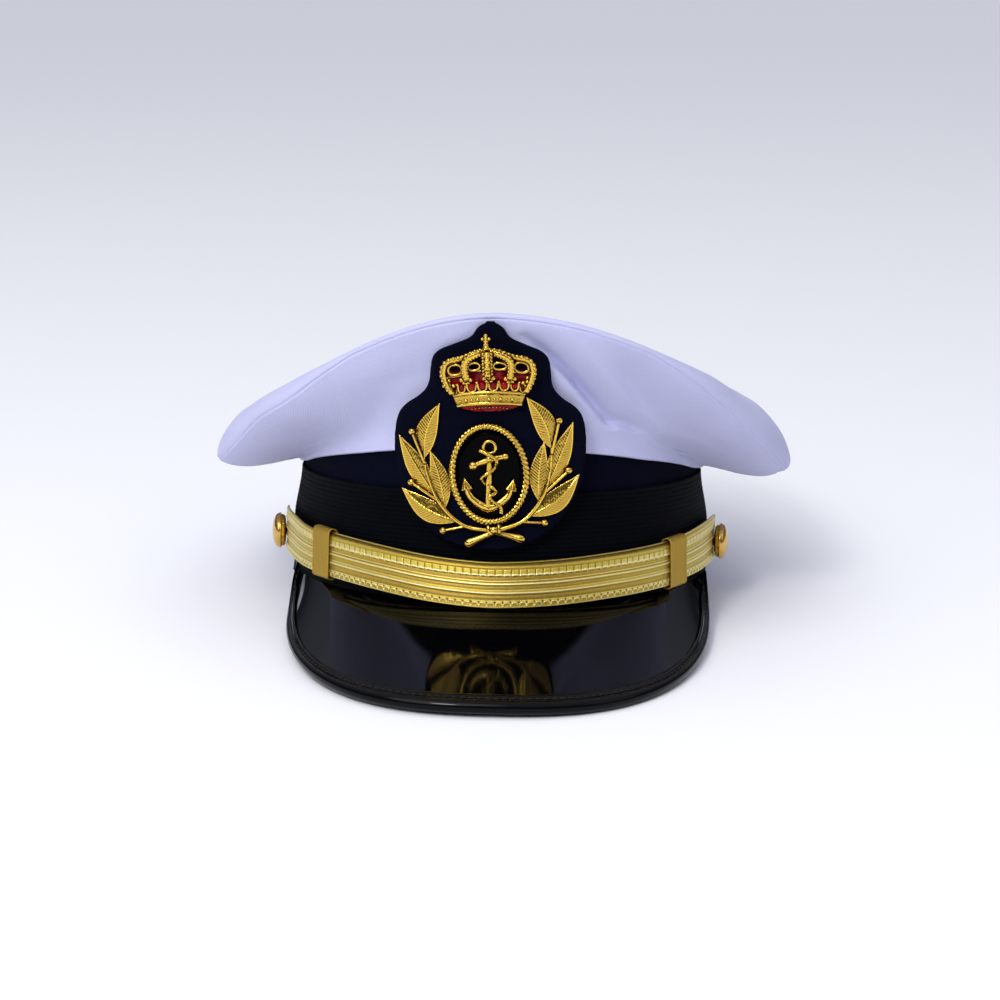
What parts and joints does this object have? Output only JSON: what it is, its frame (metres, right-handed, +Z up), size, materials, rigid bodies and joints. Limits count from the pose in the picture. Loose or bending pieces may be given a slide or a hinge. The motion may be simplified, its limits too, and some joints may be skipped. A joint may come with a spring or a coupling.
{
  "type": "peaked officer cap",
  "caption": "Peaked uniform cap with a white domed cover, ribbed dark band, glossy visor, gold lace chin strap and a felt badge with crown, anchor and laurel.",
  "frame": {"origin": "centre of the underside of the bounding box, on the surface the cap rests on", "axes": "+Z up, +Y to the back of the cap, -Y the way the wearer faces, +X to the right as the badge is looked at"},
  "size_m": [0.2342, 0.3064, 0.1313],
  "materials": {
    "cover": "matt woven",
    "cloth": "matt",
    "band": "ribbed braid",
    "patent": "high gloss patent",
    "lace": "metallic thread",
    "slide": "metallic thread",
    "gold": "gilt",
    "enamel": "glossy",
    "black": "glossy"
  },
  "bodies": {
    "root": {"cover_top": "cover", "cover_side": "cover", "body_cloth": "cloth", "ribbed_band": "band", "visor": "patent", "visor_binding": "patent", "strap_left": "lace", "strap_right": "lace", "slide_left": "slide", "slide_right": "slide", "button_left": "gold", "button_right": "gold", "badge_felt": "cloth", "badge_wreath": "gold", "badge_plate": "black", "badge_anchor": "gold", "badge_crown": "gold", "crown_lining": "enamel"}
  },
  "joints": []
}
